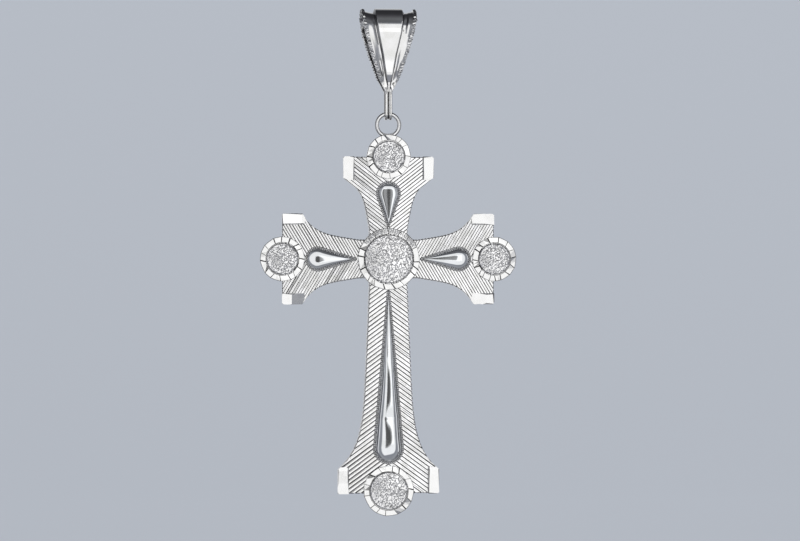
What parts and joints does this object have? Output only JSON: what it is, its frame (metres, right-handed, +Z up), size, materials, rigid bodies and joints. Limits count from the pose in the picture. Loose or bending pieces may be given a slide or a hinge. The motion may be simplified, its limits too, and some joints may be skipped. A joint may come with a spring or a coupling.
{
  "type": "cross pendant",
  "caption": "Silver cross pendant with flared arms, round medallions and long raised drops, hung by a round ring from a tapered folded bail.",
  "frame": {"origin": "axis of the round seat inside the top of the bail, half way along the bail's width, where the neck chain lies", "axes": "+Z up along the hanging cross, +X to the right as seen from the front, +Y through its thickness; the ornamented front faces -Y"},
  "size_m": [0.0512, 0.0088, 0.1012],
  "materials": {
    "facet": "sterling silver, diamond-cut flat facets",
    "frost": "sterling silver, stippled and frosted",
    "drop": "mirror-polished sterling silver dome",
    "bead": "sterling silver, fine beaded edge",
    "facet_cap": "sterling silver, bright-cut flat",
    "plate": "sterling silver, bright-cut with fine engraved chevron lines",
    "ring": "mirror-polished sterling silver with fine handling scratches",
    "bail": "mirror-polished sterling silver with fine handling scratches",
    "loop": "mirror-polished sterling silver with fine handling scratches"
  },
  "bodies": {
    "bail": {"bail": "bail", "bail_loop": "loop"},
    "ring": {"hanging_ring": "ring"},
    "cross": {"cross_plate": "plate", "centre_medallion": "facet", "top_medallion": "facet", "left_medallion": "facet", "right_medallion": "facet", "foot_medallion": "facet", "centre_field": "frost", "top_field": "frost", "left_field": "frost", "right_field": "frost", "foot_field": "frost", "top_drop": "drop", "left_drop": "drop", "right_drop": "drop", "foot_drop": "drop", "top_drop_collar": "bead", "left_drop_collar": "bead", "right_drop_collar": "bead", "foot_drop_collar": "bead", "top_left_corner_cap": "facet_cap", "top_right_corner_cap": "facet_cap", "left_upper_corner_cap": "facet_cap", "left_lower_corner_cap": "facet_cap", "right_upper_corner_cap": "facet_cap", "right_lower_corner_cap": "facet_cap", "foot_left_corner_cap": "facet_cap", "foot_right_corner_cap": "facet_cap"}
  },
  "joints": [
    {"name": "ring_swing", "type": "hinge", "parent": "bail", "child": "ring", "pos_m": [0, 0, -0.0166], "axis": [1, 0, 0], "range_deg": [-125, 125]},
    {"name": "cross_sideways", "type": "hinge", "parent": "ring", "child": "cross", "pos_m": [0, 0, -0.01884], "axis": [0, 1, 0], "range_deg": [-110, 110]}
  ]
}
